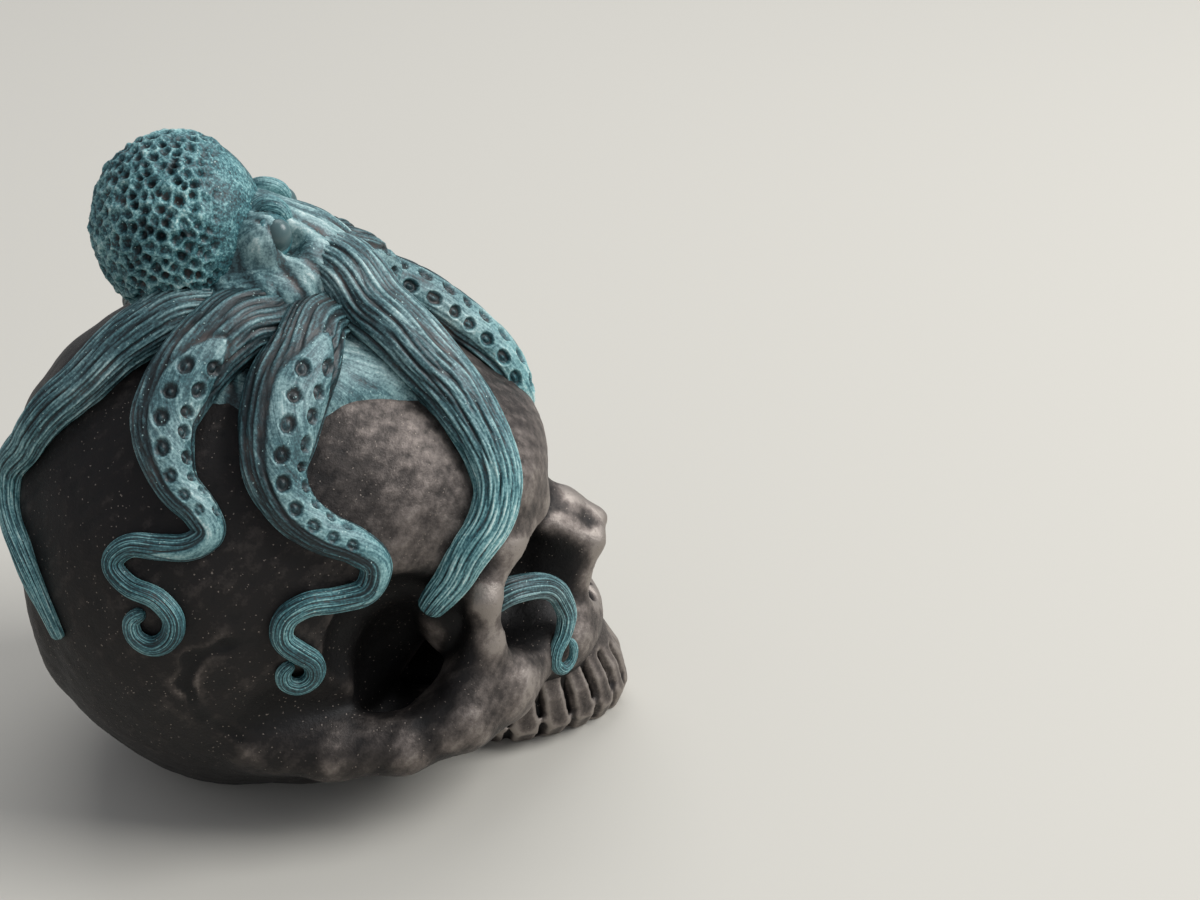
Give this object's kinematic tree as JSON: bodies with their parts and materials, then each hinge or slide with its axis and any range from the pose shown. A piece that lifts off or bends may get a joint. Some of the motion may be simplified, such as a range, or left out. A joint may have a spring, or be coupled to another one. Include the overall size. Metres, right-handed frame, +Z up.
{
  "type": "octopus figurine",
  "caption": "Desk figurine of an octopus draped over a jawless skull, its arms trailing over the braincase and through an eye socket; it stands on its flat underside.",
  "frame": {"origin": "on the flat underside, below the middle of the braincase", "axes": "+X the way the skull faces, +Y the skull's left, +Z up"},
  "size_m": [0.119, 0.0885, 0.1273],
  "materials": {
    "skull_bronze": "cast resin, near-black paint dry-brushed with bronze and fine metallic glitter",
    "teeth_bronze": "cast resin, dark paint worn to pewter on the ribs",
    "octopus_verdigris": "cast resin, navy-black paint dry-brushed with verdigris teal",
    "eye_gloss": "cast resin, dark teal with a satin coat"
  },
  "bodies": {
    "root": {"cranium": "skull_bronze", "face": "skull_bronze", "nasal_bones": "skull_bronze", "cheek_arch_right": "skull_bronze", "cheek_arch_left": "skull_bronze", "mastoid_right": "skull_bronze", "mastoid_left": "skull_bronze", "upper_teeth": "teeth_bronze", "mantle": "octopus_verdigris", "head": "octopus_verdigris", "horn_right": "octopus_verdigris", "horn_left": "octopus_verdigris", "arm_rear_right": "octopus_verdigris", "arm_side_right": "octopus_verdigris", "arm_temple_right": "octopus_verdigris", "arm_brow_right": "octopus_verdigris", "arm_forehead": "octopus_verdigris", "arm_brow_left": "octopus_verdigris", "arm_temple_left": "octopus_verdigris", "arm_rear_left": "octopus_verdigris", "arm_brow_right_tip": "octopus_verdigris", "eye_right": "eye_gloss", "eye_left": "eye_gloss"}
  },
  "joints": []
}
